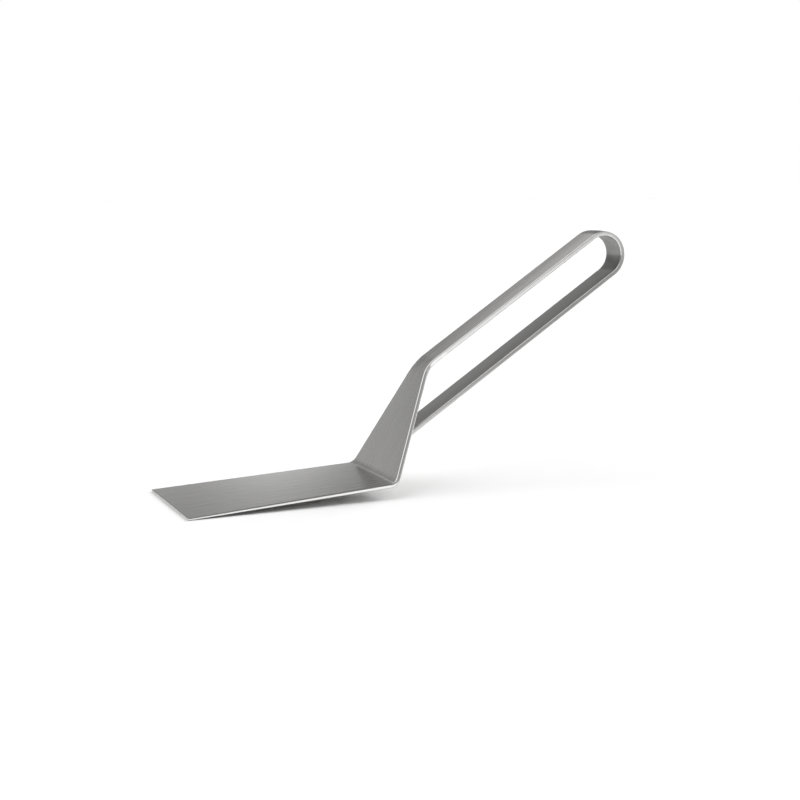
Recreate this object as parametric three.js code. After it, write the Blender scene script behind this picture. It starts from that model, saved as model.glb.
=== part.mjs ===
// Kitchen spatula of brushed stainless steel: a flat blade, a neck that rises from the blade's heel and
// tapers to a narrow tang, and a long loop of flat strip whose lower leg comes back to the neck.
// Millimetres. +X runs from the blade towards the handle, +Y across the blade, +Z up.
// The origin is the middle of the blade's flat underside.

import * as THREE from 'three';

// Driving dimensions of the folded plate.
// Straight runs are measured on the underside and the back, between the corners that the bends round off.
const BLADE_LENGTH = 105;
const FRONT_WIDTH = 67;
const HEEL_WIDTH = 57;
const FRONT_THICKNESS = 1.2;
const SHEET_THICKNESS = 2.2;
const NECK_LENGTH = 59.2;
const NECK_ANGLE = THREE.MathUtils.degToRad(61.5); // above the blade
const HEEL_RADIUS = 4.5; // inside of the bend
const SHOULDER_RADIUS = 20; // inside of the bend
const TANG_LENGTH = 6; // straight stub past the shoulder, as wide as the strip

// Driving dimensions of the loop handle.
const STRIP_WIDTH = 15;
const HANDLE_ANGLE = THREE.MathUtils.degToRad(30.6); // above the blade
const HANDLE_LENGTH = 111; // from the shoulder's corner to where the round end begins
const LOOP_GAP = 20.3; // clear height between the two legs

// Driving dimensions of edges and welds.
const EDGE_RADIUS = 0.5; // eased edge all round the sheet
const SEAM_LENGTH = 2; // butt weld between tang and strip, dressed flush
const UPPER_BEAD_LEG = 3; // fillet in the notch above the lower leg
const LOWER_BEAD_LEG = 2.4; // fillet under the lower leg
const BEAD_CROWN = 0.4; // rise of a fillet's face over its flat chord
const BEAD_INSET = 0.6; // from the strip's edges to the fillet's ends
const BEAD_END_LENGTH = 1.5; // over which a fillet dies away at each end
const BEAD_END_SIZE = 0.4; // share of the full section left at its very end

// Fineness of the round stretches. Bends have an even count, so one station lies at mid bend.
const BEND_STEPS = 12;
const ROUND_END_STEPS = 48;
const CORNER_STEPS = 3;
const BEAD_FACE_STEPS = 6;
const BEAD_END_STEPS = 4;

const { lerp, clamp } = THREE.MathUtils;
const STEEL_GREY = 0x9c9b99;
const WELD_GREY = 0x8d8b88;

// A pen that walks the back line of the sheet in the XZ plane and hands out each stretch it draws.
class FoldLine {
  constructor(x, z) {
    this.point = new THREE.Vector2(x, z);
    this.heading = 0;
    this.run = 0;
  }

  straight(length) {
    const from = this.point;
    const to = from.clone().addScaledVector(direction(this.heading), length);
    return this.stretch(new THREE.LineCurve(from, to), length, 0, 1);
  }

  // A positive turn bends the sheet upwards, a negative one forwards and down.
  bend(radius, turn, steps) {
    const side = Math.sign(turn);
    const centre = this.point.clone().addScaledVector(sideways(this.heading), side * radius);
    const start = this.heading - (side * Math.PI) / 2;
    const arc = new THREE.EllipseCurve(centre.x, centre.y, radius, radius, start, start + turn, turn < 0);
    return this.stretch(arc, radius * Math.abs(turn), turn, steps);
  }

  stretch(curve, length, turn, steps) {
    const drawn = { curve, length, turn, steps, heading: this.heading, run: this.run };
    this.point = curve.getPoint(1);
    this.heading += turn;
    this.run += length;
    return drawn;
  }
}

function direction(angle) {
  return new THREE.Vector2(Math.cos(angle), Math.sin(angle));
}

// From the back of the sheet towards its front, for a sheet that runs along the angle.
function sideways(angle) {
  return new THREE.Vector2(-Math.sin(angle), Math.cos(angle));
}

function stationAt(stretch, t) {
  const heading = stretch.heading + stretch.turn * t;
  return {
    point: stretch.curve.getPoint(t),
    along: direction(heading),
    outward: sideways(heading),
    run: stretch.run + stretch.length * t,
  };
}

function stationsOf(stretches) {
  const stations = [stationAt(stretches[0], 0)];
  for (const stretch of stretches) {
    for (let step = 1; step <= stretch.steps; step += 1) {
      stations.push(stationAt(stretch, step / stretch.steps));
    }
  }
  return stations;
}

// One closed section of the sheet: a rectangle with eased corners, square to the run.
// A lean shears it, so that its outer face runs on further than its inner face.
function sectionRing(station, thickness, width, lean = 0) {
  const radius = Math.min(EDGE_RADIUS, 0.45 * thickness);
  const reach = width / 2 - radius;
  const corners = [
    [reach, radius],
    [reach, thickness - radius],
    [-reach, thickness - radius],
    [-reach, radius],
  ];
  const ring = [];
  corners.forEach(([y, height], corner) => {
    for (let step = 0; step <= CORNER_STEPS; step += 1) {
      const angle = (Math.PI / 2) * (corner - 1 + step / CORNER_STEPS);
      const rise = height + radius * Math.sin(angle);
      const spot = station.point.clone();
      spot.addScaledVector(station.outward, rise);
      spot.addScaledVector(station.along, lean * rise);
      ring.push(new THREE.Vector3(spot.x, y + radius * Math.cos(angle), spot.y));
    }
  });
  return ring;
}

// Skins a row of rings with equal point counts and closes both ends.
function loft(rings) {
  const count = rings[0].length;
  const last = (rings.length - 1) * count;
  const faces = [];
  for (let start = 0; start < last; start += count) {
    for (let k = 0; k < count; k += 1) {
      const next = (k + 1) % count;
      faces.push(start + k, start + next, start + count + next);
      faces.push(start + k, start + count + next, start + count + k);
    }
  }
  for (let k = 1; k + 1 < count; k += 1) {
    faces.push(0, k + 1, k);
    faces.push(last, last + k, last + k + 1);
  }
  const geometry = new THREE.BufferGeometry().setFromPoints(rings.flat());
  geometry.setIndex(faces);
  geometry.computeVertexNormals();
  return geometry;
}

function steelMesh(name, geometry, color, roughness) {
  const material = new THREE.MeshStandardMaterial({ color, roughness, metalness: 1, flatShading: true });
  const mesh = new THREE.Mesh(geometry, material);
  mesh.name = name;
  return mesh;
}

// The fold, from the blade's front edge to the end of the lower leg
const shoulderTurn = NECK_ANGLE - HANDLE_ANGLE;
const heelOutside = HEEL_RADIUS + SHEET_THICKNESS;
const heelSetback = heelOutside * Math.tan(NECK_ANGLE / 2);
const shoulderSetback = SHOULDER_RADIUS * Math.tan(shoulderTurn / 2);
const heelCorner = new THREE.Vector2(BLADE_LENGTH / 2, 0);

const line = new FoldLine(-BLADE_LENGTH / 2, 0);
const blade = line.straight(BLADE_LENGTH - heelSetback);
const heel = line.bend(heelOutside, NECK_ANGLE, BEND_STEPS);
const neck = line.straight(NECK_LENGTH - heelSetback - shoulderSetback);
const shoulder = line.bend(SHOULDER_RADIUS, -shoulderTurn, BEND_STEPS);
const tang = line.straight(TANG_LENGTH);
const seam = line.straight(SEAM_LENGTH);
const upperLeg = line.straight(HANDLE_LENGTH - shoulderSetback - TANG_LENGTH - SEAM_LENGTH);
const roundEnd = line.bend(LOOP_GAP / 2, -Math.PI, ROUND_END_STEPS);
const neckBackwards = sideways(NECK_ANGLE).negate();
const toNeckBack = line.point.clone().sub(heelCorner).dot(neckBackwards) / Math.sin(shoulderTurn);
const lowerLeg = line.straight(toNeckBack);
const scarfLean = 1 / Math.tan(shoulderTurn);

// The blade narrows from front to heel, and the neck from heel to shoulder.
const heelRun = heel.run + heel.length / 2;
const shoulderRun = shoulder.run + shoulder.length / 2;

function sheetWidth(run) {
  if (run < heelRun) {
    return lerp(FRONT_WIDTH, HEEL_WIDTH, run / heelRun);
  }
  const rise = clamp((run - heelRun) / (shoulderRun - heelRun), 0, 1);
  return lerp(HEEL_WIDTH, STRIP_WIDTH, rise);
}

// The blade is ground thinner towards its front edge.
function sheetThickness(run) {
  return lerp(FRONT_THICKNESS, SHEET_THICKNESS, clamp(run / blade.length, 0, 1));
}

function sheetRing(station) {
  return sectionRing(station, sheetThickness(station.run), sheetWidth(station.run));
}

// The blade's front edge is eased like its sides: the first sections swell from the edge to full size.
function easedFrontRings() {
  const rings = [];
  for (let step = 0; step < CORNER_STEPS; step += 1) {
    const angle = (Math.PI / 2) * (step / CORNER_STEPS);
    const inset = EDGE_RADIUS * (1 - Math.sin(angle));
    const station = stationAt(blade, (EDGE_RADIUS * (1 - Math.cos(angle))) / blade.length);
    const thickness = sheetThickness(station.run) - 2 * inset;
    const width = sheetWidth(station.run) - 2 * inset;
    station.point.addScaledVector(station.outward, inset);
    rings.push(sectionRing(station, thickness, width));
  }
  return rings;
}

function bladePlate() {
  const stations = stationsOf([blade, heel, neck, shoulder, tang]);
  stations[0] = stationAt(blade, EDGE_RADIUS / blade.length);
  const rings = [...easedFrontRings(), ...stations.map(sheetRing)];
  return steelMesh('blade_plate', loft(rings), STEEL_GREY, 0.35);
}

function shoulderSeam() {
  const rings = stationsOf([seam]).map(sheetRing);
  return steelMesh('shoulder_seam', loft(rings), STEEL_GREY, 0.4);
}

// The lower leg's end is cut on a slant, to lie flat on the neck's back.
function handleLoop() {
  const stations = stationsOf([upperLeg, roundEnd, lowerLeg]);
  const scarf = stations.pop();
  const rings = stations.map(sheetRing);
  rings.push(sectionRing(scarf, SHEET_THICKNESS, STRIP_WIDTH, scarfLean));
  return steelMesh('handle_loop', loft(rings), STEEL_GREY, 0.35);
}

// A fillet weld across the strip: its corner line lies in the notch and its two legs on the joined faces.
// The legs are given clockwise as seen from the near side, so that the fillet's faces point out.
function weldBead(name, corner, firstLeg, secondLeg, legLength) {
  const first = firstLeg.clone().multiplyScalar(legLength);
  const second = secondLeg.clone().multiplyScalar(legLength);
  const chord = first.clone().add(second).multiplyScalar(0.5);
  const swell = chord.clone().setLength(chord.length() + 2 * BEAD_CROWN);
  const face = new THREE.QuadraticBezierCurve(first, swell, second).getPoints(BEAD_FACE_STEPS);
  const outline = [new THREE.Vector2(0, 0), ...face];
  const halfLength = STRIP_WIDTH / 2 - BEAD_INSET;

  const rings = [];
  for (const side of [-1, 1]) {
    const end = [];
    for (let step = 0; step <= BEAD_END_STEPS; step += 1) {
      const angle = (Math.PI / 2) * (step / BEAD_END_STEPS);
      const size = lerp(BEAD_END_SIZE, 1, Math.sin(angle));
      const y = side * (halfLength - BEAD_END_LENGTH * (1 - Math.cos(angle)));
      end.push(outline.map((spot) => new THREE.Vector3(corner.x + size * spot.x, y, corner.y + size * spot.y)));
    }
    rings.push(...(side < 0 ? end : end.reverse()));
  }
  return steelMesh(name, loft(rings), WELD_GREY, 0.45);
}

// The two fillets sit where the lower leg's inner and outer faces meet the neck's back.
const neckUp = direction(NECK_ANGLE);
const legOut = direction(HANDLE_ANGLE);
const upperNotch = lowerLeg.curve.v2;
const lowerNotch = upperNotch.clone().addScaledVector(neckUp, -SHEET_THICKNESS / Math.sin(shoulderTurn));

const spatula = new THREE.Group();
spatula.add(
  bladePlate(),
  shoulderSeam(),
  handleLoop(),
  weldBead('upper_weld_bead', upperNotch, neckUp, legOut, UPPER_BEAD_LEG),
  weldBead('lower_weld_bead', lowerNotch, legOut, neckUp.clone().negate(), LOWER_BEAD_LEG),
);

export default spatula;
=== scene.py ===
"""Kitchen spatula of brushed steel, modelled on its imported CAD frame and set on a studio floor.

Lengths are in metres, in the frame of the CAD model: +X runs from the blade towards the handle,
+Y across the blade and +Z up from the blade's flat underside.
"""

import math
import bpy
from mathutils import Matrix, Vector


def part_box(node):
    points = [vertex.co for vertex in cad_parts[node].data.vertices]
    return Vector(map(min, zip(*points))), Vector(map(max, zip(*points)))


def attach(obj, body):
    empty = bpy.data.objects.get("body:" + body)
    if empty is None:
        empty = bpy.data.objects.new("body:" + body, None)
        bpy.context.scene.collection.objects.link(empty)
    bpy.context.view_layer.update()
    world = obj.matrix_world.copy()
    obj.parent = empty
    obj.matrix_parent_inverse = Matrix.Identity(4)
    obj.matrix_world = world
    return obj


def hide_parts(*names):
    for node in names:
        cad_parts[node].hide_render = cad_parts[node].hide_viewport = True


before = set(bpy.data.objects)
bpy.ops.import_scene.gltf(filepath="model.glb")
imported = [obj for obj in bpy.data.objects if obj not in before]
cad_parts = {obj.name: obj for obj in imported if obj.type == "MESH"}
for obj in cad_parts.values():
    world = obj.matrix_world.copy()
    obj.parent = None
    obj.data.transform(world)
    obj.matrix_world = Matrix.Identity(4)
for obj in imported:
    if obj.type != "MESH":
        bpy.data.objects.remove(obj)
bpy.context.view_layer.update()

from types import SimpleNamespace

import bpy
from bpy.props import FloatProperty, FloatVectorProperty, IntProperty, PointerProperty
from mathutils import Matrix, Vector

bl_info = {
    "name": "Steel Spatula",
    "version": (1, 0, 0),
    "blender": (4, 5, 0),
    "location": "3D View > Sidebar > Spatula",
    "description": "Folds a steel spatula with a loop handle and sets it on a studio floor",
    "category": "Object",
}

GRAIN_MAP = "grain"
MILLIMETRE = 0.001
LEFT_TO_RIGHT = Vector((1.0, 0.0, 0.0))
NEAR_TO_FAR = Vector((0.0, 1.0, 0.0))

# Fineness of the folded sheet
WIDTH_CUTS = 7
PLATE_STEPS = (10, 24, 6, 24, 2)
SEAM_STEPS = 2
LOOP_STEPS = (10, 96, 14)
EDGE_SEGMENTS = 6

# Corners sharper than this stay sharp in the shading
SHEET_CORNER = math.radians(35)
WELD_CORNER = math.radians(50)

# How squarely a face looks out of the sheet's front or back, to count as flat or as an edge
FLAT = 0.96
ON_EDGE = 0.3

# How squarely a face looks forwards or sideways, to count as an end or a side in the grain map
STEEP = 0.7

# Streaks in the steel: how long, how broad, and how detailed
FINE_GRAIN = (0.02, 0.00018, 3.0)
BROAD_GRAIN = (0.06, 0.0009, 2.0)
CLOUDS = (0.08, 0.006, 1.0)
BLOTCHES = (0.007, 0.006, 1.0)
EDGE_MARKS = (0.015, 0.0002, 3.0)
CORNER_MARKS = (0.008, 0.0001, 3.0)

# Grains in the weld metal: how many to a metre, and how detailed
GRIT = (2500.0, 4.0)
HEAT_PATCHES = (450.0, 2.0)

# Where most of a noise's values lie
NOISE_MIDDLE = (0.25, 0.75)

# How rough each finish is, from its smoothest streaks to its roughest
FRONT_SATIN = (0.24, 0.28)
BACK_SATIN = (0.28, 0.32)
PLATE_POLISH = (0.12, 0.18)
STRIP_POLISH = (0.15, 0.22)
FILED_CORNER = (0.15, 0.2)
BENT_CORNER = (0.2, 0.26)
WIRE_BRUSHED = (0.32, 0.48)

# Reach of the change from one finish to the next, along the run
FINISH_REACH = 6 * MILLIMETRE

# Where the studio's lights begin and end, by how far a direction goes up, right or away
HORIZON_TOP = (0.11, 0.26)
HORIZON_LEFT = (-0.35, 0.1)
FRONT_FADE = (-0.75, -0.35)
GLOW_FOOT = (0.3, 0.8)
GLOW_LEFT = (-0.16, 0.17)
GLOW_RIGHT = (0.16, 0.27)
GLOW_FRONT = (0.0, 0.4)
WALL_RIGHT = (-0.33, -0.07)
STRIP_LEFT = (0.23, 0.3)
STRIP_RIGHT = (0.295, 0.365)
STRIP_TOP = (0.2, 0.33)
FAR_SIDE = (0.3, 0.6)
NEAR_SIDE = (-0.6, 0.0)

# How near a direction is to a lamp's own, from the lamp's rim to its full brightness
KEY_RIM = (0.75, 0.95)
FILL_RIM = (0.85, 0.985)

# The floor's size, its drop below the blade's front edge, and where its painted falloff of light darkens it
# in front, in metres
FLOOR_SIZE = 12.0
FLOOR_DROP = 0.02 * MILLIMETRE
FLOOR_SHADE_FRONT = (-1.0, -0.45)


# Values that a user would change

class SheetSizes(bpy.types.PropertyGroup):
    """Sizes of the folded plate, measured on its underside and back between the bends' corners."""

    blade_length: FloatProperty(
        name="Blade length", description="From the front edge to the heel's corner",
        default=0.105, min=0.05, unit="LENGTH")
    front_width: FloatProperty(
        name="Front width", description="Across the blade at its front edge",
        default=0.067, min=0.02, unit="LENGTH")
    heel_width: FloatProperty(
        name="Heel width", description="Across the sheet at the heel bend",
        default=0.057, min=0.02, unit="LENGTH")
    front_thickness: FloatProperty(
        name="Front thickness", description="Of the ground front edge",
        default=0.0012, min=0.0008, unit="LENGTH")
    thickness: FloatProperty(
        name="Sheet thickness", description="Of the neck and the strip",
        default=0.0022, min=0.001, unit="LENGTH")
    neck_length: FloatProperty(
        name="Neck length", description="From the heel's corner to the shoulder's corner",
        default=0.0592, min=0.04, unit="LENGTH")
    neck_angle: FloatProperty(
        name="Neck angle", description="Of the neck above the blade",
        default=math.radians(61.5), subtype="ANGLE")
    heel_radius: FloatProperty(
        name="Heel radius", description="Inside of the heel bend",
        default=0.0045, min=0.002, unit="LENGTH")
    shoulder_radius: FloatProperty(
        name="Shoulder radius", description="Inside of the shoulder bend",
        default=0.02, min=0.005, unit="LENGTH")
    edge_radius: FloatProperty(
        name="Edge radius", description="Of the eased edges, in proportion less where the blade is thinner",
        default=0.00075, min=0.0001, unit="LENGTH")
    blend: FloatProperty(
        name="Blend", description="Reach of the eased corners of the outline, at the heel and the shoulder",
        default=0.003, min=0.0001, unit="LENGTH")
    dish: FloatProperty(
        name="Dish", description="Depth of the sheet's slight curl across its width, hollow at the back",
        default=0.00024, min=0.0, unit="LENGTH")


class HandleSizes(bpy.types.PropertyGroup):
    """Sizes of the loop of flat strip."""

    strip_width: FloatProperty(
        name="Strip width", description="Across the flat strip",
        default=0.015, min=0.008, unit="LENGTH")
    handle_angle: FloatProperty(
        name="Handle angle", description="Of the loop's legs above the blade",
        default=math.radians(30.6), subtype="ANGLE")
    handle_length: FloatProperty(
        name="Handle length", description="From the shoulder's corner to the start of the round end",
        default=0.111, min=0.05, unit="LENGTH")
    loop_gap: FloatProperty(
        name="Loop gap", description="Clear height between the two legs",
        default=0.0203, min=0.01, unit="LENGTH")
    strip_easing: FloatProperty(
        name="Strip easing", description="Share of the plate's edge radius that the strip's edges have",
        default=0.6, min=0.1, max=1.0, subtype="FACTOR")
    tang_length: FloatProperty(
        name="Tang length", description="Straight stub of the plate past the shoulder",
        default=0.006, min=0.002, unit="LENGTH")
    seam_length: FloatProperty(
        name="Seam length", description="Butt weld between tang and strip, dressed flush",
        default=0.002, min=0.001, unit="LENGTH")


class WeldSizes(bpy.types.PropertyGroup):
    """Sizes of the two fillet welds between the lower leg and the neck's back."""

    upper_leg: FloatProperty(
        name="Upper weld leg", description="Of the fillet in the notch above the lower leg",
        default=0.003, min=0.001, unit="LENGTH")
    lower_leg: FloatProperty(
        name="Lower weld leg", description="Of the fillet under the lower leg",
        default=0.0024, min=0.001, unit="LENGTH")
    crown: FloatProperty(
        name="Weld crown", description="Rise of a fillet's face over its flat chord",
        default=0.0004, min=0.0, unit="LENGTH")
    inset: FloatProperty(
        name="Weld inset", description="From the strip's edges to the fillet's ends",
        default=0.0006, min=0.0, unit="LENGTH")
    ripples: IntProperty(
        name="Ripples", description="Ripples that the torch left along each fillet",
        default=12, min=4)


class SteelFinish(bpy.types.PropertyGroup):
    """Colours and finish of the steel, with painted shade inside the loop and on the corners under the upper
    leg.
    """

    sheet_colour: FloatVectorProperty(
        name="Brushed steel", description="Colour of the brushed faces",
        default=(0.6, 0.595, 0.585), min=0.0, max=1.0, subtype="COLOR")
    # Painted shade: the inside of the loop is coloured darker than the brushed faces, standing in for the
    # shade inside the loop
    shaded_inside_colour: FloatVectorProperty(
        name="Inside of the loop", description="Colour of the dull inside of the loop",
        default=(0.415, 0.412, 0.405), min=0.0, max=1.0, subtype="COLOR")
    edge_colour: FloatVectorProperty(
        name="Polished edge", description="Colour of the plate's polished edges",
        default=(0.9, 0.9, 0.89), min=0.0, max=1.0, subtype="COLOR")
    strip_edge_colour: FloatVectorProperty(
        name="Strip edge", description="Colour of the strip's satin edges",
        default=(0.78, 0.778, 0.77), min=0.0, max=1.0, subtype="COLOR")
    corner_colour: FloatVectorProperty(
        name="Eased corner", description="Colour of the eased corners beside the edges",
        default=(0.6, 0.596, 0.588), min=0.0, max=1.0, subtype="COLOR")
    # Painted shade: the back's corners under the upper leg are coloured nearly black, a dark line standing in
    # for the shade there
    shaded_rim_colour: FloatVectorProperty(
        name="Dull corner", description="Colour of the corners under the upper leg, left as bent",
        default=(0.16, 0.159, 0.157), min=0.0, max=1.0, subtype="COLOR")
    bend_shade: FloatProperty(
        name="Bend shade", description="Share of its brightness that the inside keeps at the round end",
        default=0.58, min=0.0, max=1.0, subtype="FACTOR")
    weld_colour: FloatVectorProperty(
        name="Weld metal", description="Colour of the weld metal",
        default=(0.52, 0.51, 0.495), min=0.0, max=1.0, subtype="COLOR")
    brushing: FloatProperty(
        name="Brushing", description="How strongly the grain draws reflections out across itself",
        default=0.6, min=0.0, max=1.0, subtype="FACTOR")


class StageSettings(bpy.types.PropertyGroup):
    """The floor, the light and the camera."""

    floor_colour: FloatVectorProperty(
        name="Floor", description="Colour of the plain floor",
        default=(0.95, 0.95, 0.95), min=0.0, max=1.0, subtype="COLOR")
    # Painted shade: the floor's colour darkens in front of the spatula, a painted falloff of light
    floor_falloff_shade: FloatProperty(
        name="Floor fade", description="Share of the floor's colour left well in front of the spatula",
        default=0.42, min=0.0, max=1.0, subtype="FACTOR")
    floor_slope: FloatProperty(
        name="Floor slope", description="Fall of the floor behind the blade's front edge, which stands on it",
        default=math.radians(3.1), subtype="ANGLE")
    room: FloatProperty(
        name="Room", description="Brightness of the grey room above the white horizon",
        default=0.23, min=0.0)
    wall: FloatProperty(
        name="Wall", description="How much brighter the room is on the left behind the spatula",
        default=0.162, min=0.0)
    front: FloatProperty(
        name="Front", description="How much brighter the room is in front of the spatula",
        default=0.1, min=0.0)
    glow: FloatProperty(
        name="Glow", description="How much brighter the room is high up behind the spatula",
        default=0.95, min=0.0)
    key_light: FloatProperty(
        name="Key light", description="Brightness of the soft light above",
        default=1.44, min=0.0)
    key_direction: FloatVectorProperty(
        name="Key direction", description="Direction that the soft light above comes from",
        default=(-0.45, 0.05, 0.89), subtype="DIRECTION")
    fill_light: FloatProperty(
        name="Fill light", description="Brightness of the low light on the right",
        default=5.4, min=0.0)
    fill_direction: FloatVectorProperty(
        name="Fill direction", description="Direction that the low light comes from",
        default=(0.84, 0.2, 0.45), subtype="DIRECTION")
    strip_light: FloatProperty(
        name="Strip light", description="Brightness of the upright strip light behind the blade",
        default=0.8, min=0.0)
    camera_azimuth: FloatProperty(
        name="Camera azimuth", description="Of the camera round the spatula, from the near side",
        default=math.radians(-22.88), subtype="ANGLE")
    camera_elevation: FloatProperty(
        name="Camera elevation", description="Of the camera above the blade",
        default=math.radians(10.08), subtype="ANGLE")
    camera_roll: FloatProperty(
        name="Camera roll", description="Of the camera about its own axis",
        default=math.radians(-2.78), subtype="ANGLE")
    camera_distance: FloatProperty(
        name="Camera distance", description="From the point that the camera looks at",
        default=0.7362, min=0.1, unit="LENGTH")
    camera_target: FloatVectorProperty(
        name="Camera target", description="Point that the camera looks at",
        default=(0.0674, 0.0, 0.0365), subtype="XYZ")
    camera_lens: FloatProperty(
        name="Camera lens", description="Focal length on a sensor 36 mm wide",
        default=67.0, min=10.0)


# The fold that the sheet and the strip follow

def along(angle):
    return Vector((math.cos(angle), 0.0, math.sin(angle)))


def outward(angle):
    """From the back of the sheet towards its front, for a sheet that runs along the angle."""
    return Vector((-math.sin(angle), 0.0, math.cos(angle)))


class Stretch:
    """One straight or bent stretch of the sheet's back line."""

    def __init__(self, start, heading, length, turn, run):
        self.start = start
        self.heading = heading
        self.length = length
        self.turn = turn
        self.run = run
        self.side = math.copysign(1.0, turn)
        self.radius = length / abs(turn) if turn else 0.0
        self.centre = start + outward(heading) * (self.side * self.radius)

    def end(self):
        if not self.turn:
            return self.start + along(self.heading) * self.length
        return self.centre - outward(self.heading + self.turn) * (self.side * self.radius)

    def locate(self, spot):
        """How far along this stretch a spot is, and how high above the back line."""
        if not self.turn:
            offset = spot - self.start
            return offset.dot(along(self.heading)), offset.dot(outward(self.heading))
        spoke = Vector((spot.x - self.centre.x, spot.z - self.centre.z))
        first = self.start - self.centre
        swept = (math.atan2(spoke.y, spoke.x) - math.atan2(first.z, first.x)) * self.side
        middle = abs(self.turn) / 2
        swept = (swept - middle + math.pi) % (2 * math.pi) - math.pi + middle
        return swept * self.radius, self.side * (self.radius - spoke.length)

    def heading_at(self, distance):
        return self.heading + self.turn * distance / self.length


class FoldLine:
    """Walks the back line of the sheet and hands out each stretch it has walked."""

    def __init__(self, start):
        self.point = start
        self.heading = 0.0
        self.run = 0.0

    def straight(self, length):
        return self.walk(length, 0.0)

    def bend(self, radius, turn):
        return self.walk(radius * abs(turn), turn)

    def walk(self, length, turn):
        stretch = Stretch(self.point, self.heading, length, turn, self.run)
        self.point = stretch.end()
        self.heading += turn
        self.run += length
        return stretch


def fold_sizes(scene):
    """Walks the whole fold, from the blade's front edge to the end of the lower leg."""
    sheet = scene.spatula_sheet
    handle = scene.spatula_handle
    fold = SimpleNamespace()
    shoulder_turn = sheet.neck_angle - handle.handle_angle
    heel_outside = sheet.heel_radius + sheet.thickness
    heel_setback = heel_outside * math.tan(sheet.neck_angle / 2)
    shoulder_setback = sheet.shoulder_radius * math.tan(shoulder_turn / 2)
    stub = handle.tang_length + handle.seam_length
    line = FoldLine(Vector((-sheet.blade_length / 2, 0.0, 0.0)))
    fold.blade = line.straight(sheet.blade_length - heel_setback)
    fold.heel = line.bend(heel_outside, sheet.neck_angle)
    fold.neck = line.straight(sheet.neck_length - heel_setback - shoulder_setback)
    fold.shoulder = line.bend(sheet.shoulder_radius, -shoulder_turn)
    fold.tang = line.straight(handle.tang_length)
    fold.seam = line.straight(handle.seam_length)
    fold.upper_leg = line.straight(handle.handle_length - shoulder_setback - stub)
    fold.round_end = line.bend(handle.loop_gap / 2, -math.pi)
    fold.heel_corner = Vector((sheet.blade_length / 2, 0.0, 0.0))
    fold.neck_back = -outward(sheet.neck_angle)
    reach = (line.point - fold.heel_corner).dot(fold.neck_back) / math.sin(shoulder_turn)
    fold.lower_leg = line.straight(reach)
    fold.shoulder_turn = shoulder_turn
    fold.heel_run = fold.heel.run + fold.heel.length / 2
    fold.shoulder_run = fold.shoulder.run + fold.shoulder.length / 2
    fold.plate = [fold.blade, fold.heel, fold.neck, fold.shoulder, fold.tang]
    fold.loop = [fold.upper_leg, fold.round_end, fold.lower_leg]
    return fold


def mix(first, second, share):
    return first + (second - first) * min(max(share, 0.0), 1.0)


def past(distance, blend):
    """How far past a corner, with the corner eased over the blend to both sides."""
    if abs(distance) < blend:
        return (distance + blend) ** 2 / (4 * blend)
    return max(distance, 0.0)


def width_at(scene, fold, run):
    """The blade narrows from front to heel, the neck from heel to shoulder, and the strip stays the same."""
    sheet = scene.spatula_sheet
    blade_taper = (sheet.heel_width - sheet.front_width) / fold.heel_run
    neck_taper = (scene.spatula_handle.strip_width - sheet.heel_width) / (fold.shoulder_run - fold.heel_run)
    width = sheet.front_width + blade_taper * run
    width += (neck_taper - blade_taper) * past(run - fold.heel_run, sheet.blend)
    return width - neck_taper * past(run - fold.shoulder_run, sheet.blend)


def thickness_at(scene, fold, run):
    """The blade is ground thinner towards its front edge."""
    sheet = scene.spatula_sheet
    return mix(sheet.front_thickness, sheet.thickness, run / fold.blade.length)


def place_on_fold(spot, stretches):
    """The stretch that a spot of the sheet belongs to, its distance along it and its height."""
    lowest = -0.5 * MILLIMETRE
    highest = 2.5 * MILLIMETRE
    best = None
    for stretch in stretches:
        distance, height = stretch.locate(spot)
        gap = max(0.0, -distance, distance - stretch.length)
        gap += max(0.0, lowest - height, height - highest)
        if best is None or gap < best[0]:
            best = (gap, stretch, distance, height)
    return best[1:]


# Working with pieces in edit mode

def select_only(piece):
    bpy.ops.object.select_all(action="DESELECT")
    piece.select_set(True)
    bpy.context.view_layer.objects.active = piece


def edit_all(piece, kind):
    select_only(piece)
    bpy.ops.object.mode_set(mode="EDIT")
    bpy.ops.mesh.select_mode(type=kind)
    bpy.ops.mesh.select_all(action="SELECT")


def edit_some(piece, kind, wanted):
    """Enters edit mode with only the wanted vertices, edges or faces selected."""
    edit_all(piece, kind)
    bpy.ops.mesh.select_all(action="DESELECT")
    bpy.ops.object.mode_set(mode="OBJECT")
    parts = {"VERT": piece.data.vertices, "EDGE": piece.data.edges, "FACE": piece.data.polygons}
    for part in parts[kind]:
        part.select = wanted(part)
    bpy.ops.object.mode_set(mode="EDIT")


def leave_edit():
    bpy.ops.object.mode_set(mode="OBJECT")


def apply_modifier(piece, kind, **settings):
    select_only(piece)
    modifier = piece.modifiers.new(kind.lower(), kind)
    for name, value in settings.items():
        setattr(modifier, name, value)
    bpy.ops.object.modifier_apply(modifier=modifier.name)


def add_end_face(name, stretch, width, thickness):
    """A strip's end face, upright across the start of a stretch, with cuts that run along the strip."""
    bpy.ops.object.select_all(action="DESELECT")
    centre = stretch.start + outward(stretch.heading) * (thickness / 2)
    turned = (0.0, math.pi / 2 - stretch.heading, 0.0)
    bpy.ops.mesh.primitive_plane_add(size=1, location=centre, rotation=turned)
    piece = bpy.context.object
    piece.name = name
    piece.data.name = name
    piece.scale = (thickness, width, 1.0)
    bpy.ops.object.transform_apply(location=True, rotation=True, scale=True)

    def across(edge):
        first, second = (piece.data.vertices[index].co for index in edge.vertices)
        return abs(first.y - second.y) > width / 2

    edit_some(piece, "EDGE", across)
    bpy.ops.mesh.subdivide(number_cuts=WIDTH_CUTS)
    bpy.ops.mesh.select_mode(type="FACE")
    bpy.ops.mesh.select_all(action="SELECT")
    return piece


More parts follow.
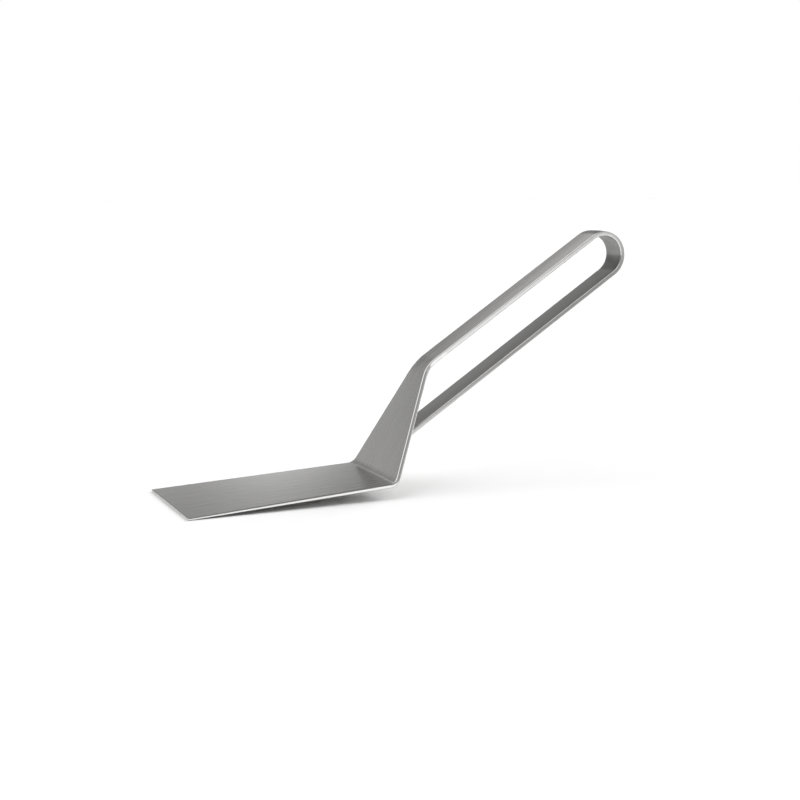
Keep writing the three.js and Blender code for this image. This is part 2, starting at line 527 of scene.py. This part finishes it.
def draw_stretch(scene, fold, stretch, steps):
    """Draws the selected end face along a straight or bent stretch, and lets it narrow and thicken."""
    step = stretch.length / steps
    for index in range(steps):
        before = stretch.run + index * step
        if stretch.turn:
            bpy.ops.mesh.spin(steps=1, angle=stretch.turn / steps, center=stretch.centre, axis=NEAR_TO_FAR)
        else:
            ahead = along(stretch.heading) * step
            bpy.ops.mesh.extrude_region_move(TRANSFORM_OT_translate={"value": ahead})
        resize_end(scene, fold, before, before + step)


def resize_end(scene, fold, before, after):
    """Only the blade changes thickness, and its underside lies at height 0, where scaling leaves it."""
    across = width_at(scene, fold, after) / width_at(scene, fold, before)
    thicker = thickness_at(scene, fold, after) / thickness_at(scene, fold, before)
    if across != 1.0 or thicker != 1.0:
        bpy.ops.transform.resize(value=(1.0, across, thicker), center_override=(0.0, 0.0, 0.0))


def dish_sheet(scene, fold, piece, stretches):
    """Curls the sheet a little across its width, with its edges leaning in, as rolled sheet does."""
    depth = scene.spatula_sheet.dish
    for vertex in piece.data.vertices:
        stretch, distance, height = place_on_fold(vertex.co, stretches)
        run = stretch.run + distance
        width = width_at(scene, fold, run)
        lever = 2 * vertex.co.y / width
        above_middle = height - thickness_at(scene, fold, run) / 2
        vertex.co += outward(stretch.heading_at(distance)) * (depth * (0.5 - lever * lever))
        vertex.co.y += above_middle * 4 * depth * lever / width


def ease_edges(scene, fold, piece, stretches, wanted):
    """Rounds the wanted edges, less where the blade is thinner and from the shoulder on."""
    sheet = scene.spatula_sheet
    weights = piece.data.attributes.new("bevel_weight_edge", "FLOAT", "EDGE")
    for edge in piece.data.edges:
        if not wanted(edge):
            continue
        first, second = (piece.data.vertices[index].co for index in edge.vertices)
        stretch, distance, _ = place_on_fold((first + second) / 2, stretches)
        run = stretch.run + distance
        share = thickness_at(scene, fold, run) / sheet.thickness
        share *= mix(1.0, scene.spatula_handle.strip_easing, (run - fold.shoulder.run) / fold.shoulder.length)
        weights.data[edge.index].value = share
    apply_modifier(
        piece, "BEVEL", width=sheet.edge_radius, segments=EDGE_SEGMENTS, limit_method="WEIGHT",
        use_clamp_overlap=False)


def long_edges(scene, fold, piece, stretches):
    """A test for the sheet's four long corner edges."""
    side_slack = 0.02 * MILLIMETRE
    least_run = 0.05 * MILLIMETRE
    places = []
    for vertex in piece.data.vertices:
        stretch, distance, height = place_on_fold(vertex.co, stretches)
        run = stretch.run + distance
        at_side = abs(abs(vertex.co.y) - width_at(scene, fold, run) / 2) < side_slack
        places.append((run, height, at_side))

    def wanted(edge):
        first, second = (places[index] for index in edge.vertices)
        runs_on = abs(first[0] - second[0]) > least_run
        return runs_on and first[2] and second[2]

    return wanted


def tidy_normals(piece):
    edit_all(piece, "FACE")
    bpy.ops.mesh.remove_doubles(threshold=0.001 * MILLIMETRE)
    bpy.ops.mesh.normals_make_consistent(inside=False)
    leave_edit()


def smooth_sheet(piece):
    """Smooth bends and eased edges, with the flat faces kept flat."""
    select_only(piece)
    bpy.ops.object.shade_smooth_by_angle(angle=SHEET_CORNER)
    apply_modifier(piece, "WEIGHTED_NORMAL", mode="FACE_AREA", weight=50, keep_sharp=True)


def unroll_grain(piece, stretches):
    """Unrolls the sheet into its grain map: along the run, then across it, in metres."""
    mesh = piece.data
    for spare in list(mesh.uv_layers):
        mesh.uv_layers.remove(spare)
    grain = mesh.uv_layers.new(name=GRAIN_MAP)
    places = [place_on_fold(vertex.co, stretches) for vertex in mesh.vertices]
    for face in mesh.polygons:
        for loop in face.loop_indices:
            index = mesh.loops[loop].vertex_index
            spot = mesh.vertices[index].co
            stretch, distance, height = places[index]
            if face.normal.x < -STEEP and stretch.run == 0.0:
                grain.data[loop].uv = (spot.y, height)
                continue
            rim = math.copysign(height, spot.y) if abs(face.normal.y) > STEEP else 0.0
            grain.data[loop].uv = (stretch.run + distance, spot.y + rim)


def finish_sheet(scene, fold, piece, stretches, edge):
    """Finishes front, back, front's corners, edges and back's corners, each over the ones before."""
    finish = scene.spatula_finish
    front = brushed_steel(finish)
    back = back_steel(finish, fold)
    for material in (front, back, eased_corner(finish, fold), edge, back_corner(finish, fold)):
        piece.data.materials.append(material)
    uprights = []
    for face in piece.data.polygons:
        stretch, distance, _ = place_on_fold(face.center, stretches)
        uprights.append(face.normal.dot(outward(stretch.heading_at(distance))))
    kinds = (
        lambda upright: upright <= -FLAT,
        lambda upright: abs(upright) < FLAT,
        lambda upright: abs(upright) < ON_EDGE,
        lambda upright: -FLAT < upright <= -ON_EDGE,
    )
    for index, belongs in enumerate(kinds, start=1):
        edit_some(piece, "FACE", lambda face: belongs(uprights[face.index]))
        piece.active_material_index = index
        bpy.ops.object.material_slot_assign()
        leave_edit()


def dress_sheet(scene, fold, piece, stretches, edge, node):
    """Smooths and finishes a piece of sheet, which then takes its CAD node's place."""
    smooth_sheet(piece)
    unroll_grain(piece, stretches)
    finish_sheet(scene, fold, piece, stretches, edge)
    stand_for(piece, node)


def stand_for(piece, node):
    """The piece takes the place of a CAD node, whose box it has to fill."""
    low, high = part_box(node)
    corners = [vertex.co for vertex in piece.data.vertices]
    slack = 0.4 * MILLIMETRE
    for axis in range(3):
        span = (min(c[axis] for c in corners), max(c[axis] for c in corners))
        if abs(span[0] - low[axis]) > slack or abs(span[1] - high[axis]) > slack:
            raise RuntimeError(f"{piece.name} does not fill the box of {node}: {span} on axis {axis}")
    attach(piece, "root")
    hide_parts(node)


# Finishes

def new_material(name):
    material = bpy.data.materials.get(name)
    if material:
        return material, None, None
    material = bpy.data.materials.new(name)
    material.use_nodes = True
    tree = material.node_tree
    return material, tree, tree.nodes["Principled BSDF"]


def new_steel(name):
    material, tree, shader = new_material(name)
    if tree is not None:
        shader.inputs["Metallic"].default_value = 1.0
    return material, tree, shader


def streaks(tree, pattern):
    """Streaks along the grain, after a pattern of length, breadth and detail."""
    length, breadth, detail = pattern
    stretch = tree.nodes.new("ShaderNodeMapping")
    stretch.inputs["Scale"].default_value = (1 / length, 1 / breadth, 1.0)
    noise = tree.nodes.new("ShaderNodeTexNoise")
    noise.inputs["Scale"].default_value = 1.0
    noise.inputs["Detail"].default_value = detail
    noise.inputs["Roughness"].default_value = 0.6
    tree.links.new(grain_place(tree), stretch.inputs["Vector"])
    tree.links.new(stretch.outputs["Vector"], noise.inputs["Vector"])
    return noise.outputs["Fac"]


def grains(tree, pattern):
    """Grains that are alike in all directions, after a pattern of number and detail."""
    number, detail = pattern
    place = tree.nodes.new("ShaderNodeTexCoord")
    noise = tree.nodes.new("ShaderNodeTexNoise")
    noise.inputs["Scale"].default_value = number
    noise.inputs["Detail"].default_value = detail
    tree.links.new(place.outputs["Object"], noise.inputs["Vector"])
    return noise.outputs["Fac"]


def remapped(tree, value, kind, start, end, low, high):
    node = tree.nodes.new("ShaderNodeMapRange")
    node.interpolation_type = kind
    levels = {"From Min": start, "From Max": end, "To Min": low, "To Max": high}
    for name, level in levels.items():
        node.inputs[name].default_value = level
    tree.links.new(value, node.inputs["Value"])
    return node.outputs["Result"]


def ease(tree, value, start, end, low, high):
    """Goes smoothly from one level to another as a value rises from start to end."""
    return remapped(tree, value, "SMOOTHSTEP", start, end, low, high)


def spread(tree, noise, low, high):
    """Maps the middle of a noise onto a range."""
    return remapped(tree, noise, "LINEAR", *NOISE_MIDDLE, low, high)


def vary(tree, noise, swing):
    """A factor that goes with a noise by a swing to each side of 1."""
    return spread(tree, noise, 1.0 - swing, 1.0 + swing)


def combined(tree, operation, first, second):
    node = tree.nodes.new("ShaderNodeMath")
    node.operation = operation
    tree.links.new(first, node.inputs[0])
    tree.links.new(second, node.inputs[1])
    return node.outputs["Value"]


def product(tree, first, *others):
    for other in others:
        first = combined(tree, "MULTIPLY", first, other)
    return first


def facing(tree, direction, towards):
    """How far a direction or a place goes towards a direction."""
    node = tree.nodes.new("ShaderNodeVectorMath")
    node.operation = "DOT_PRODUCT"
    node.inputs[1].default_value = towards
    tree.links.new(direction, node.inputs[0])
    return node.outputs["Value"]


def pointing(tree, place):
    """The direction of a place, seen from the origin."""
    node = tree.nodes.new("ShaderNodeVectorMath")
    node.operation = "NORMALIZE"
    tree.links.new(place, node.inputs[0])
    return node.outputs["Vector"]


def grain_place(tree):
    grain = tree.nodes.new("ShaderNodeUVMap")
    grain.uv_map = GRAIN_MAP
    return grain.outputs["UV"]


def run_along(tree):
    """How far along the fold a spot lies."""
    return facing(tree, grain_place(tree), LEFT_TO_RIGHT)


def paint(tree, shader, colour, brightness):
    """Gives a shader a colour that a value makes brighter or darker."""
    node = tree.nodes.new("ShaderNodeVectorMath")
    node.operation = "SCALE"
    node.inputs[0].default_value = tuple(colour)
    tree.links.new(brightness, node.inputs["Scale"])
    tree.links.new(node.outputs["Vector"], shader.inputs["Base Color"])


def grooves(tree, shader, height, depth):
    bump = tree.nodes.new("ShaderNodeBump")
    bump.inputs["Strength"].default_value = 1.0
    bump.inputs["Distance"].default_value = depth
    tree.links.new(height, bump.inputs["Height"])
    tree.links.new(bump.outputs["Normal"], shader.inputs["Normal"])


def grain_tangent(tree, shader):
    tangent = tree.nodes.new("ShaderNodeTangent")
    tangent.direction_type = "UV_MAP"
    tangent.uv_map = GRAIN_MAP
    tree.links.new(tangent.outputs["Tangent"], shader.inputs["Tangent"])


def brushed_steel(finish):
    """Brushed along the sheet: reflections draw out across the grain, and streaks run along it."""
    material, tree, shader = new_steel("brushed_steel")
    if tree is not None:
        tone = grained_steel(tree, shader, finish.brushing, FRONT_SATIN)
        paint(tree, shader, finish.sheet_colour, tone)
    return material


def back_steel(finish, fold):
    """The back: brushed as far as the shoulder, painted darker inside the loop as shade that is deepest at
    the round end, and blotched at its round end.
    """
    material, tree, shader = new_steel("back_steel")
    if tree is None:
        return material
    tone = grained_steel(tree, shader, finish.brushing, BACK_SATIN)
    run = run_along(tree)
    start = fold.round_end.run
    end = start + fold.round_end.length
    reach = FINISH_REACH
    # Painted shade inside the loop: deepest at the round end, lifting along the lower leg to a little lighter
    # than the inside colour by the neck
    painted_light_by_neck = 1.12
    blotched = 0.15
    before = ease(tree, run, start - reach, start + reach, 1.0, finish.bend_shade)
    after = ease(tree, run, end - 2 * reach, end + fold.lower_leg.length, finish.bend_shade, painted_light_by_neck)
    # Painted shade: the back keeps the brushed faces' colour up to the shoulder and takes the darker inside
    # colour within the loop
    brighter = finish.sheet_colour[0] / finish.shaded_inside_colour[0]
    loop_shade_ramp = ease(tree, run, fold.shoulder.run - reach, fold.upper_leg.run + reach, brighter, 1.0)
    tone = product(tree, tone, combined(tree, "MAXIMUM", before, after), loop_shade_ramp)
    rising = ease(tree, run, start - 2 * reach, start, 0.0, blotched)
    falling = ease(tree, run, end, end + 2 * reach, blotched, 0.0)
    blotches = product(
        tree, spread(tree, streaks(tree, BLOTCHES), -1.0, 1.0),
        combined(tree, "MINIMUM", rising, falling))
    tone = combined(tree, "ADD", tone, product(tree, tone, blotches))
    paint(tree, shader, finish.shaded_inside_colour, tone)
    return material


def grained_steel(tree, shader, brushing, roughness):
    """Sets up steel with a grain, and hands back the streaks that its colour takes."""
    fine = streaks(tree, FINE_GRAIN)
    broad = streaks(tree, BROAD_GRAIN)
    cloudy = streaks(tree, CLOUDS)
    tone = product(tree, vary(tree, fine, 0.055), vary(tree, broad, 0.04), vary(tree, cloudy, 0.025))
    satin = product(tree, spread(tree, fine, *roughness), vary(tree, broad, 0.05))
    tree.links.new(satin, shader.inputs["Roughness"])
    shader.inputs["Specular Tint"].default_value = (0.9, 0.9, 0.9, 1.0)
    shader.inputs["Anisotropic"].default_value = brushing
    shader.inputs["Anisotropic Rotation"].default_value = 0.25
    grain_tangent(tree, shader)
    grooves(tree, shader, fine, 0.002 * MILLIMETRE)
    return tone


def polished_edge(finish):
    """The plate's edges, buffed bright."""
    return buffed_edge("polished_edge", finish.edge_colour, PLATE_POLISH)


def satin_edge(finish, fold):
    """The strip's edges, buffed less, and painted darker along the lower leg as a dark reflection."""
    fade_start = fold.round_end.run + fold.round_end.length / 2
    # Painted dark reflection: the edges' colour dims to this share along the lower leg
    fade_share = 0.8
    fading = (fade_start, fold.lower_leg.run, fade_share)
    return buffed_edge("satin_edge", finish.strip_edge_colour, STRIP_POLISH, fading)


def buffed_edge(name, colour, roughness, fading=None):
    """Faint marks run along the edge, which fades to a share of its brightness along part of its run."""
    material, tree, shader = new_steel(name)
    if tree is None:
        return material
    marks = streaks(tree, EDGE_MARKS)
    tone = vary(tree, marks, 0.03)
    if fading:
        start, end, share = fading
        tone = product(tree, tone, ease(tree, run_along(tree), start, end, 1.0, share))
    paint(tree, shader, colour, tone)
    tree.links.new(spread(tree, marks, *roughness), shader.inputs["Roughness"])
    grooves(tree, shader, marks, 0.001 * MILLIMETRE)
    return material


def eased_corner(finish, fold):
    """Corners eased with a file: brighter and softer on the strip than on the plate."""
    material, tree, shader = new_steel("eased_corner")
    if tree is None:
        return material
    marks = streaks(tree, CORNER_MARKS)
    run = run_along(tree)
    start = fold.shoulder.run
    end = fold.upper_leg.run
    brighter = 1.3
    softer = 1.7
    tone = product(tree, vary(tree, marks, 0.08), ease(tree, run, start, end, 1.0, brighter))
    paint(tree, shader, finish.corner_colour, tone)
    satin = product(tree, spread(tree, marks, *FILED_CORNER), ease(tree, run, start, end, 1.0, softer))
    tree.links.new(satin, shader.inputs["Roughness"])
    grooves(tree, shader, marks, 0.002 * MILLIMETRE)
    return material


def back_corner(finish, fold):
    """The back's corners: eased on the plate, painted dark as shade under the upper leg, bright from the
    round end on.
    """
    material, tree, shader = new_steel("back_corner")
    if tree is None:
        return material
    marks = streaks(tree, CORNER_MARKS)
    run = run_along(tree)
    plate = finish.corner_colour[0] / finish.shaded_rim_colour[0]
    polished = finish.edge_colour[0] / finish.shaded_rim_colour[0]
    sharper = 0.6
    quarter = fold.upper_leg.length / 4
    start = fold.round_end.run - FINISH_REACH
    end = fold.round_end.run + FINISH_REACH
    # Painted shade on the corners under the upper leg, eased out towards the shoulder
    before = ease(tree, run, fold.shoulder.run, fold.upper_leg.run + quarter, plate, 1.0)
    after = ease(tree, run, start, end, 1.0, polished)
    tone = product(tree, vary(tree, marks, 0.08), combined(tree, "MAXIMUM", before, after))
    paint(tree, shader, finish.shaded_rim_colour, tone)
    satin = product(tree, spread(tree, marks, *BENT_CORNER), ease(tree, run, start, end, 1.0, sharper))
    tree.links.new(satin, shader.inputs["Roughness"])
    return material


def weld_steel(finish):
    """Satin weld metal, wire brushed, with a little heat tint left in patches."""
    material, tree, shader = new_steel("weld_steel")
    if tree is None:
        return material
    grit = grains(tree, GRIT)
    patches = grains(tree, HEAT_PATCHES)
    most_tinted = 0.7
    tint = tree.nodes.new("ShaderNodeMix")
    tint.data_type = "RGBA"
    plain = Vector(finish.weld_colour)
    tint.inputs["A"].default_value = (*plain, 1.0)
    tint.inputs["B"].default_value = (plain.x * 1.02, plain.y * 0.93, plain.z * 0.8, 1.0)
    tree.links.new(spread(tree, patches, 0.0, most_tinted), tint.inputs["Factor"])
    tree.links.new(tint.outputs["Result"], shader.inputs["Base Color"])
    tree.links.new(spread(tree, grit, *WIRE_BRUSHED), shader.inputs["Roughness"])
    grooves(tree, shader, grit, 0.03 * MILLIMETRE)
    return material


# Operators that make the pieces

class SPATULA_OT_fold_plate(bpy.types.Operator):
    """Fold the blade, the neck and the tang from one tapering sheet"""

    bl_idname = "spatula.fold_plate"
    bl_label = "Fold the Blade Plate"
    bl_options = {"REGISTER", "UNDO"}

    def execute(self, context):
        scene = context.scene
        sheet = scene.spatula_sheet
        fold = fold_sizes(scene)
        plate = add_end_face("folded_plate", fold.blade, sheet.front_width, sheet.front_thickness)
        for stretch, steps in zip(fold.plate, PLATE_STEPS):
            draw_stretch(scene, fold, stretch, steps)
        leave_edit()
        tidy_normals(plate)
        long = long_edges(scene, fold, plate, fold.plate)
        slack = 0.01 * MILLIMETRE
        front = fold.blade.start.x + slack
        beside = 0.49 * sheet.front_width
        points = [vertex.co.copy() for vertex in plate.data.vertices]
        sides = [abs(point.y) > beside for point in points]

        def eased(edge):
            first, second = edge.vertices
            if points[first].x > front or points[second].x > front:
                return long(edge)
            level = abs(points[first].z - points[second].z) < slack
            return level or (sides[first] and sides[second])

        dish_sheet(scene, fold, plate, fold.plate)
        ease_edges(scene, fold, plate, fold.plate, eased)
        edge = polished_edge(scene.spatula_finish)
        dress_sheet(scene, fold, plate, fold.plate, edge, "blade_plate")
        return {"FINISHED"}


class SPATULA_OT_dress_seam(bpy.types.Operator):
    """Make the butt weld between the tang and the strip, dressed flush"""

    bl_idname = "spatula.dress_seam"
    bl_label = "Dress the Shoulder Seam"
    bl_options = {"REGISTER", "UNDO"}

    def execute(self, context):
        scene = context.scene
        fold = fold_sizes(scene)
        thickness = scene.spatula_sheet.thickness
        seam = add_end_face("dressed_seam", fold.seam, scene.spatula_handle.strip_width, thickness)
        draw_stretch(scene, fold, fold.seam, SEAM_STEPS)
        leave_edit()
        tidy_normals(seam)
        long = long_edges(scene, fold, seam, [fold.seam])
        dish_sheet(scene, fold, seam, [fold.seam])
        ease_edges(scene, fold, seam, [fold.seam], long)
        edge = satin_edge(scene.spatula_finish, fold)
        dress_sheet(scene, fold, seam, [fold.seam], edge, "shoulder_seam")
        return {"FINISHED"}


class SPATULA_OT_bend_loop(bpy.types.Operator):
    """Bend the flat strip into the loop handle and cut its end to the neck's back"""

    bl_idname = "spatula.bend_loop"
    bl_label = "Bend the Handle Loop"
    bl_options = {"REGISTER", "UNDO"}

    def execute(self, context):
        scene = context.scene
        fold = fold_sizes(scene)
        thickness = scene.spatula_sheet.thickness
        loop = add_end_face("strip_loop", fold.upper_leg, scene.spatula_handle.strip_width, thickness)
        for stretch, steps in zip(fold.loop, LOOP_STEPS):
            draw_stretch(scene, fold, stretch, steps)
        spare = along(fold.lower_leg.heading) * (2 * thickness)
        bpy.ops.mesh.extrude_region_move(TRANSFORM_OT_translate={"value": spare})
        leave_edit()
        tidy_normals(loop)
        long = long_edges(scene, fold, loop, fold.loop)
        dish_sheet(scene, fold, loop, fold.loop)
        ease_edges(scene, fold, loop, fold.loop, long)
        edit_all(loop, "FACE")
        bpy.ops.mesh.bisect(
            plane_co=fold.heel_corner, plane_no=fold.neck_back, use_fill=True, clear_inner=True)
        leave_edit()
        tidy_normals(loop)
        edge = satin_edge(scene.spatula_finish, fold)
        dress_sheet(scene, fold, loop, fold.loop, edge, "handle_loop")
        return {"FINISHED"}


class SPATULA_OT_lay_welds(bpy.types.Operator):
    """Lay the two rippled fillet welds between the lower leg and the neck's back"""

    bl_idname = "spatula.lay_welds"
    bl_label = "Lay the Weld Beads"
    bl_options = {"REGISTER", "UNDO"}

    def execute(self, context):
        scene = context.scene
        sheet = scene.spatula_sheet
        welds = scene.spatula_welds
        fold = fold_sizes(scene)
        neck_up = along(sheet.neck_angle)
        leg_out = along(scene.spatula_handle.handle_angle)
        upper = fold.lower_leg.end()
        lower = upper - neck_up * (sheet.thickness / math.sin(fold.shoulder_turn))
        metal = weld_steel(scene.spatula_finish)
        half = scene.spatula_handle.strip_width / 2 - welds.inset
        beads = (
            ("upper_bead", "upper_weld_bead", upper, neck_up * welds.upper_leg, leg_out * welds.upper_leg),
            ("lower_bead", "lower_weld_bead", lower, leg_out * welds.lower_leg, neck_up * -welds.lower_leg),
        )
        for name, node, corner, first, second in beads:
            bead = self.lay_bead(name, corner, first, second, half, welds)
            bead.data.materials.append(metal)
            stand_for(bead, node)
        return {"FINISHED"}

    def lay_bead(self, name, corner, first, second, half, welds):
        """Sets a circle's points round the fillet's section, then draws it along in ripples."""
        face_points = 9
        middle = (first + second) / 2
        swell = middle.normalized() * (middle.length + 2 * welds.crown)
        outline = [corner.copy()]
        for index in range(face_points):
            t = index / (face_points - 1)
            spot = first * (1 - t) ** 2 + swell * (2 * t * (1 - t)) + second * t ** 2
            outline.append(corner + spot)
        bpy.ops.object.select_all(action="DESELECT")
        bpy.ops.mesh.primitive_circle_add(
            vertices=len(outline), radius=first.length, fill_type="NGON",
            location=(corner.x, -half, corner.z), rotation=(math.pi / 2, 0.0, 0.0))
        bead = bpy.context.object
        bead.name = name
        bead.data.name = name
        bpy.ops.object.transform_apply(location=True, rotation=True, scale=True)
        for index, spot in enumerate(outline):
            edit_some(bead, "VERT", lambda vertex: vertex.index == index)
            here = bead.data.vertices[index].co
            target = Vector((spot.x, -half, spot.z))
            bpy.ops.transform.translate(value=target - here)
            leave_edit()
        edit_all(bead, "FACE")
        self.draw_ripples(corner, half, welds.ripples)
        leave_edit()
        tidy_normals(bead)
        bpy.ops.object.shade_smooth_by_angle(angle=WELD_CORNER)
        return bead

    def draw_ripples(self, corner, half, ripples):
        """Each ripple rises steeply and falls slowly, and the bead dies away at both ends."""
        phases = (0.0, 0.2, 0.45, 0.75)
        heights = (0.86, 0.97, 1.0, 0.94)
        pitch = 2 * half / ripples
        sizes = []
        for ripple in range(ripples):
            for phase, height in zip(phases, heights):
                travelled = (ripple + phase) * pitch
                sizes.append((travelled, height * self.end_share(travelled, half)))
        sizes.append((2 * half, heights[0] * self.end_share(2 * half, half)))
        size = 1.0
        here = 0.0
        for number, (travelled, wanted) in enumerate(sizes):
            if number:
                step = (0.0, travelled - here, 0.0)
                bpy.ops.mesh.extrude_region_move(TRANSFORM_OT_translate={"value": step})
            ratio = wanted / size
            pivot = (corner.x, -half + travelled, corner.z)
            bpy.ops.transform.resize(value=(ratio, 1.0, ratio), center_override=pivot)
            size = wanted
            here = travelled

    def end_share(self, travelled, half):
        """Share of the full section that is left near the bead's ends."""
        end_length = 1.5 * MILLIMETRE
        end_size = 0.4
        near = min(travelled, 2 * half - travelled)
        lean = 1 - min(near / end_length, 1.0)
        return mix(end_size, 1.0, math.sqrt(1 - lean * lean))


# The stage

class SPATULA_OT_set_stage(bpy.types.Operator):
    """Set the floor, the studio light and the camera"""

    bl_idname = "spatula.set_stage"
    bl_label = "Set the Stage"
    bl_options = {"REGISTER", "UNDO"}

    def execute(self, context):
        scene = context.scene
        stage = scene.spatula_stage
        up = Vector((math.sin(stage.floor_slope), 0.0, math.cos(stage.floor_slope)))
        self.lay_floor(scene, stage)
        self.light_studio(scene, stage, up)
        self.place_camera(scene, stage)
        scene.view_settings.view_transform = "Standard"
        return {"FINISHED"}

    def lay_floor(self, scene, stage):
        """The floor meets the blade's front edge, falls a little towards the handle and darkens in front with
        a painted falloff of light.
        """
        front = (-scene.spatula_sheet.blade_length / 2, 0.0, -FLOOR_DROP)
        slope = (0.0, stage.floor_slope, 0.0)
        bpy.ops.object.select_all(action="DESELECT")
        bpy.ops.mesh.primitive_plane_add(size=FLOOR_SIZE, location=front, rotation=slope)
        floor = bpy.context.object
        floor.name = "studio_floor"
        bpy.ops.object.transform_apply(location=True, rotation=True, scale=True)
        material, tree, shader = new_material("studio_floor")
        if tree is not None:
            place = tree.nodes.new("ShaderNodeTexCoord")
            spot = place.outputs["Object"]
            # Painted falloff of light: the floor darkens well in front, and in directions that point forwards
            # from the origin
            near = ease(tree, facing(tree, spot, NEAR_TO_FAR), *FLOOR_SHADE_FRONT, stage.floor_falloff_shade, 1.0)
            bearing = facing(tree, pointing(tree, spot), NEAR_TO_FAR)
            beside = ease(tree, bearing, *FRONT_FADE, stage.floor_falloff_shade, 1.0)
            lit = combined(tree, "MAXIMUM", near, beside)
            paint(tree, shader, stage.floor_colour, lit)
            shader.inputs["Roughness"].default_value = 0.9
            shader.inputs["Specular IOR Level"].default_value = 0.0
        floor.data.materials.append(material)

    def light_studio(self, scene, stage, up):
        """A white horizon in a grey room, a key above, a low fill on the right and softer lights behind."""
        world = bpy.data.worlds.new("studio")
        world.use_nodes = True
        scene.world = world
        tree = world.node_tree
        place = tree.nodes.new("ShaderNodeTexCoord")
        direction = place.outputs["Generated"]
        height = facing(tree, direction, up)
        sideways = facing(tree, direction, LEFT_TO_RIGHT)
        depth = facing(tree, direction, NEAR_TO_FAR)
        front_share = 0.15
        left_share = 0.2
        horizon = product(
            tree, ease(tree, height, *HORIZON_TOP, 1.0 - stage.room, 0.0),
            ease(tree, depth, *FRONT_FADE, front_share, 1.0),
            ease(tree, sideways, *HORIZON_LEFT, left_share, 1.0))
        key_side = facing(tree, direction, Vector(stage.key_direction).normalized())
        key = ease(tree, key_side, *KEY_RIM, 0.0, stage.key_light)
        fill = self.fill_light(tree, stage, direction)
        glow = product(
            tree, ease(tree, height, *GLOW_FOOT, 0.0, stage.glow),
            ease(tree, sideways, *GLOW_LEFT, 0.0, 1.0), ease(tree, sideways, *GLOW_RIGHT, 1.0, 0.0),
            ease(tree, depth, *GLOW_FRONT, 0.0, 1.0))
        wall = product(
            tree, ease(tree, sideways, *WALL_RIGHT, stage.wall, 0.0),
            ease(tree, depth, *FAR_SIDE, 0.0, 1.0))
        strip = product(
            tree, ease(tree, sideways, *STRIP_LEFT, 0.0, stage.strip_light),
            ease(tree, sideways, *STRIP_RIGHT, 1.0, 0.0), ease(tree, height, *STRIP_TOP, 1.0, 0.0),
            ease(tree, depth, *FAR_SIDE, 0.0, 1.0))
        level = ease(tree, depth, *NEAR_SIDE, stage.room + stage.front, stage.room)
        for light in (horizon, key, fill, glow, wall, strip):
            level = combined(tree, "ADD", level, light)
        tree.links.new(level, tree.nodes["Background"].inputs["Color"])

    def fill_light(self, tree, stage, direction):
        """The low light draws the shadow on the floor, and the steel mirrors only a share of it."""
        mirrored_share = 0.2
        side = facing(tree, direction, Vector(stage.fill_direction).normalized())
        fill = ease(tree, side, *FILL_RIM, 0.0, stage.fill_light)
        path = tree.nodes.new("ShaderNodeLightPath")
        seen = ease(tree, path.outputs["Is Glossy Ray"], 0.0, 1.0, 1.0, mirrored_share)
        return product(tree, fill, seen)

    def place_camera(self, scene, stage):
        azimuth = stage.camera_azimuth
        elevation = stage.camera_elevation
        level = math.cos(elevation)
        back = Vector((math.sin(azimuth) * level, -math.cos(azimuth) * level, math.sin(elevation)))
        right = Vector((math.cos(azimuth), math.sin(azimuth), 0.0))
        up = back.cross(right)
        turn = Matrix.Rotation(stage.camera_roll, 3, "Z")
        axes = Matrix((right, up, back)).transposed() @ turn
        camera = bpy.data.objects.new("camera", bpy.data.cameras.new("camera"))
        scene.collection.objects.link(camera)
        camera.data.lens = stage.camera_lens
        camera.data.sensor_width = 36.0
        camera.data.clip_start = 0.01
        camera.matrix_world = axes.to_4x4()
        camera.location = Vector(stage.camera_target) + back * stage.camera_distance
        scene.camera = camera


class SPATULA_PT_sidebar(bpy.types.Panel):
    """Lists the steps that make the spatula, with the sizes and colours they use"""

    bl_idname = "SPATULA_PT_sidebar"
    bl_label = "Steel Spatula"
    bl_space_type = "VIEW_3D"
    bl_region_type = "UI"
    bl_category = "Spatula"

    def draw(self, context):
        scene = context.scene
        steps = (
            (scene.spatula_sheet, SPATULA_OT_fold_plate),
            (scene.spatula_handle, SPATULA_OT_dress_seam),
            (scene.spatula_handle, SPATULA_OT_bend_loop),
            (scene.spatula_welds, SPATULA_OT_lay_welds),
            (scene.spatula_stage, SPATULA_OT_set_stage),
        )
        shown = set()
        for group, operator in steps:
            box = self.layout.box()
            box.operator(operator.bl_idname)
            if group not in shown:
                self.list_values(box, group)
                shown.add(group)
        finish = self.layout.box()
        finish.label(text="Finish")
        self.list_values(finish, scene.spatula_finish)

    def list_values(self, box, group):
        for name in group.__annotations__:
            box.prop(group, name)


GROUPS = {
    "spatula_sheet": SheetSizes,
    "spatula_handle": HandleSizes,
    "spatula_welds": WeldSizes,
    "spatula_finish": SteelFinish,
    "spatula_stage": StageSettings,
}
OPERATORS = (
    SPATULA_OT_fold_plate,
    SPATULA_OT_dress_seam,
    SPATULA_OT_bend_loop,
    SPATULA_OT_lay_welds,
    SPATULA_OT_set_stage,
)


def register():
    for cls in (*GROUPS.values(), *OPERATORS, SPATULA_PT_sidebar):
        bpy.utils.register_class(cls)
    for name, group in GROUPS.items():
        setattr(bpy.types.Scene, name, PointerProperty(type=group))


def unregister():
    for name in GROUPS:
        delattr(bpy.types.Scene, name)
    for cls in (SPATULA_PT_sidebar, *OPERATORS, *GROUPS.values()):
        bpy.utils.unregister_class(cls)


def main():
    register()
    bpy.ops.spatula.fold_plate()
    bpy.ops.spatula.dress_seam()
    bpy.ops.spatula.bend_loop()
    bpy.ops.spatula.lay_welds()
    bpy.ops.spatula.set_stage()


if __name__ == "__main__":
    main()
